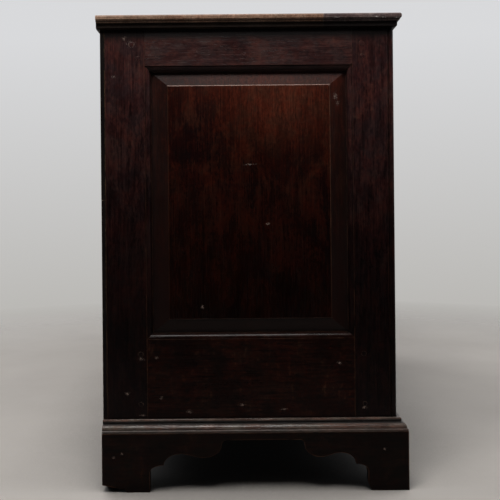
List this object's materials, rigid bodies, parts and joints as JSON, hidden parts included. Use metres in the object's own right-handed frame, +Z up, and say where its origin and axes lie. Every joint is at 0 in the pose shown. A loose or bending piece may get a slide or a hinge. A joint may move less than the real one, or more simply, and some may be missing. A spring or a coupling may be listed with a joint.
{
  "type": "mule chest",
  "caption": "Panelled oak chest with a hinged moulded lid over a deep well, drawers with swinging brass bails below, and a shaped bracket plinth.",
  "frame": {"origin": "centre of the bounding box at floor level", "axes": "+X along the chest from its left end to its right end seen from the front, +Y to the back, +Z up"},
  "size_m": [1.416, 0.552, 0.8503],
  "materials": {
    "frame_oak": "dark stained oak, wax polished, satin",
    "panel_oak": "dark stained oak with a warm reddish field, wax polished",
    "dark_oak": "very dark stained oak, satin",
    "plinth_oak": "very dark stained oak, scuffed, satin",
    "lid_oak": "stained oak worn browner on its edge, wax polished",
    "dry_oak": "unfinished old oak, dry and matt",
    "brass": "aged brass, softly polished",
    "iron": "dark wrought iron"
  },
  "bodies": {
    "carcase": {"back_board_lower": "dry_oak", "back_board_upper": "dry_oak", "back_post_left": "frame_oak", "back_post_right": "frame_oak", "back_top_rail": "dry_oak", "base_moulding_front": "dark_oak", "base_moulding_left": "dark_oak", "base_moulding_right": "dark_oak", "drawer_divider": "dark_oak", "end_bottom_rail_left": "dark_oak", "end_bottom_rail_right": "dark_oak", "end_panel_left": "panel_oak", "end_panel_right": "panel_oak", "end_top_rail_left": "frame_oak", "end_top_rail_right": "frame_oak", "front_drawer_rail": "dark_oak", "front_muntin_left": "frame_oak", "front_muntin_right": "frame_oak", "front_panel_centre": "panel_oak", "front_panel_left": "panel_oak", "front_panel_right": "panel_oak", "front_post_left": "frame_oak", "front_post_right": "frame_oak", "front_top_rail": "frame_oak", "front_well_rail": "frame_oak", "hinge_back_leaf_left": "iron", "hinge_back_leaf_right": "iron", "lid_lock": "iron", "plinth_front": "plinth_oak", "plinth_left": "plinth_oak", "plinth_right": "plinth_oak", "rear_bracket_left": "plinth_oak", "rear_bracket_right": "plinth_oak", "runner_centre": "dry_oak", "runner_left": "dry_oak", "runner_right": "dry_oak", "well_floor": "dry_oak"},
    "lid": {"lid_board_front": "lid_oak", "lid_board_rear": "lid_oak", "hinge_lid_leaf_left": "iron", "hinge_lid_leaf_right": "iron", "lid_staple": "iron"},
    "drawer_left": {"drawer_front_left": "dark_oak", "drawer_side_outer_left": "dry_oak", "drawer_side_inner_left": "dry_oak", "drawer_back_left": "dry_oak", "drawer_bottom_left": "dry_oak", "handle_plate_inner_left": "brass", "handle_plate_outer_left": "brass"},
    "left_inner_bail": {"bail_inner_left": "brass"},
    "left_outer_bail": {"bail_outer_left": "brass"},
    "drawer_right": {"drawer_front_right": "dark_oak", "drawer_side_outer_right": "dry_oak", "drawer_side_inner_right": "dry_oak", "drawer_back_right": "dry_oak", "drawer_bottom_right": "dry_oak", "handle_plate_inner_right": "brass", "handle_plate_outer_right": "brass"},
    "right_inner_bail": {"bail_inner_right": "brass"},
    "right_outer_bail": {"bail_outer_right": "brass"}
  },
  "joints": [
    {"name": "lid_hinge", "type": "hinge", "parent": "carcase", "child": "lid", "pos_m": [0, 0.2712, 0.82615], "axis": [-1, 0, 0], "range_deg": [0, 100]},
    {"name": "drawer_left_slide", "type": "slide", "parent": "carcase", "child": "drawer_left", "axis": [0, -1, 0], "range_m": [0, 0.36]},
    {"name": "left_inner_bail_swing", "type": "hinge", "parent": "drawer_left", "child": "left_inner_bail", "pos_m": [-0.156, -0.2705, 0.224], "axis": [-1, 0, 0], "range_deg": [-10, 95]},
    {"name": "left_outer_bail_swing", "type": "hinge", "parent": "drawer_left", "child": "left_outer_bail", "pos_m": [-0.493, -0.2705, 0.224], "axis": [-1, 0, 0], "range_deg": [-10, 95]},
    {"name": "drawer_right_slide", "type": "slide", "parent": "carcase", "child": "drawer_right", "axis": [0, -1, 0], "range_m": [0, 0.36]},
    {"name": "right_inner_bail_swing", "type": "hinge", "parent": "drawer_right", "child": "right_inner_bail", "pos_m": [0.156, -0.2705, 0.224], "axis": [-1, 0, 0], "range_deg": [-10, 95]},
    {"name": "right_outer_bail_swing", "type": "hinge", "parent": "drawer_right", "child": "right_outer_bail", "pos_m": [0.493, -0.2705, 0.224], "axis": [-1, 0, 0], "range_deg": [-10, 95]}
  ]
}
